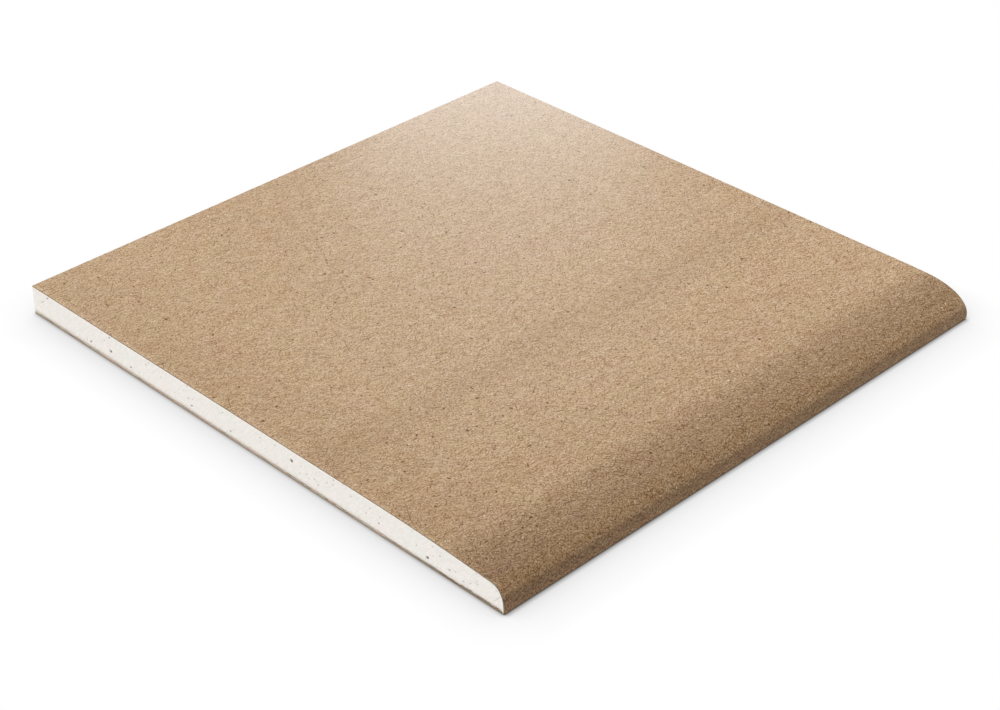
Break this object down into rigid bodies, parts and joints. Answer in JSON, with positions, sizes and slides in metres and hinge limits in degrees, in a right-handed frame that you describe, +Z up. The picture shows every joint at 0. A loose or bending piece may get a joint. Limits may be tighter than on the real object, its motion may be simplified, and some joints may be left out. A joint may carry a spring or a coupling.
{
  "type": "drywall sheet",
  "caption": "Square piece of plasterboard: gypsum core between brown paper liners, with a half-round tapered bound edge and square-cut sides.",
  "frame": {"origin": "middle of the underside, on the floor that the board lies on", "axes": "+X across the board from the cut side to the bound edge, +Y along the board and its bound edge, +Z up from the back paper to the face paper"},
  "size_m": [0.26, 0.255, 0.0125],
  "materials": {
    "gypsum": "off-white set gypsum, sawn, matt, with small pits and dark specks",
    "face_liner": "brown kraft liner, matt, with fine fibres and flecks",
    "back_liner": "plain brown kraft liner, matt, a little rougher and darker than the face"
  },
  "bodies": {
    "root": {"gypsum_core": "gypsum", "face_paper": "face_liner", "back_paper": "back_liner"}
  },
  "joints": []
}
